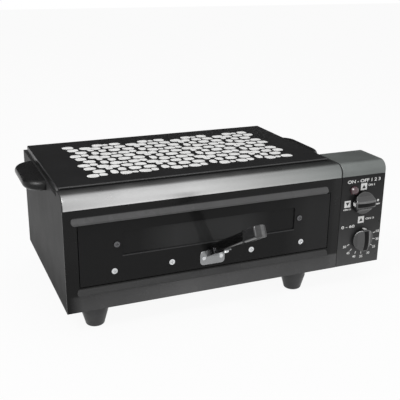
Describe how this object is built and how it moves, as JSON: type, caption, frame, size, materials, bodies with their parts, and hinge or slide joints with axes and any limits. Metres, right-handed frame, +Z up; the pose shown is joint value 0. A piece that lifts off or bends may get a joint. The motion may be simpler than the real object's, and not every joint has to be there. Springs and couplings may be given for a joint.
{
  "type": "electric tandoor",
  "caption": "Low black sheet steel table oven with a windowed pull-out drawer, lift-off lid, side carrying handles and a control box with rotary knobs.",
  "frame": {"origin": "middle of the whole object's floor plan, on the surface that its feet stand on", "axes": "+Z up, -Y the front with the drawer, +X to the right with the control box"},
  "size_m": [0.508, 0.4178, 0.191],
  "materials": {
    "black_enamel": "glossy black baked enamel on sheet steel",
    "lid_enamel": "satin black enamel with a printed field of pale pebbles",
    "silver_enamel": "silver grey metallic enamel",
    "grey_enamel": "dark greenish grey metallic enamel",
    "bakelite": "polished black moulding",
    "knob_plastic": "black moulded plastic",
    "foot_plastic": "dull black moulding",
    "liner_steel": "aluminised sheet steel",
    "element_steel": "heat darkened tube",
    "ceramic": "white steatite",
    "phenolic": "brown phenolic",
    "switch_steel": "zinc plated steel",
    "bright_steel": "nickel plated",
    "black_screw": "blackened steel",
    "tray_metal": "bare sheet",
    "glass": "smoked toughened glass",
    "lamp_red": "translucent red lens",
    "lamp_body": "pale moulding",
    "black_rubber": "soft black rubber",
    "lead_sleeve": "braided glass sleeve"
  },
  "bodies": {
    "case": {"outer_shell": "black_enamel", "base_plate": "black_enamel", "front_panel": "black_enamel", "control_box_shell": "black_enamel", "control_panel": "black_enamel", "front_band": "silver_enamel", "control_box_cover": "grey_enamel", "left_carry_handle": "bakelite", "right_carry_handle": "bakelite", "front_left_foot": "foot_plastic", "front_right_foot": "foot_plastic", "rear_left_foot": "foot_plastic", "rear_right_foot": "foot_plastic", "oven_liner": "liner_steel", "left_runner": "liner_steel", "right_runner": "liner_steel", "element_bars": "liner_steel", "upper_element": "element_steel", "lower_element": "element_steel", "element_insulators": "ceramic", "terminal_block": "ceramic", "selector_switch": "phenolic", "timer_unit": "switch_steel", "panel_nuts": "switch_steel", "carry_handle_screws": "switch_steel", "foot_screws": "switch_steel", "foot_nuts": "switch_steel", "back_screws": "black_screw", "lamp_lens": "lamp_red", "lamp_holder": "lamp_body", "wire_grommet": "black_rubber", "cord_gland": "black_rubber", "wiring": "lead_sleeve"},
    "drawer": {"drawer_front": "black_enamel", "window_glass": "glass", "window_clips": "switch_steel", "window_screws": "black_screw", "tray": "tray_metal", "tray_rails": "tray_metal", "tray_grill": "bright_steel", "tray_screws": "bright_steel", "tray_nuts": "switch_steel", "handle_bracket": "bright_steel", "bracket_rivets": "bright_steel", "drawer_handle": "bakelite", "handle_screw": "bright_steel"},
    "lid": {"lid": "lid_enamel"},
    "selector": {"selector_knob": "knob_plastic", "selector_shaft": "switch_steel"},
    "timer": {"timer_knob": "knob_plastic", "timer_shaft": "switch_steel"}
  },
  "joints": [
    {"name": "drawer_slide", "type": "slide", "parent": "case", "child": "drawer", "axis": [0, -1, 0], "range_m": [0, 0.2]},
    {"name": "lid_lift", "type": "slide", "parent": "case", "child": "lid", "axis": [0, 0, 1], "range_m": [0, 0.15]},
    {"name": "selector_turn", "type": "hinge", "parent": "case", "child": "selector", "pos_m": [0.2165, -0.06869, 0.129], "axis": [0, 1, 0], "range_deg": [-90, 180]},
    {"name": "timer_turn", "type": "hinge", "parent": "case", "child": "timer", "pos_m": [0.2205, -0.06869, 0.071], "axis": [0, 1, 0], "range_deg": [0, 300]}
  ]
}
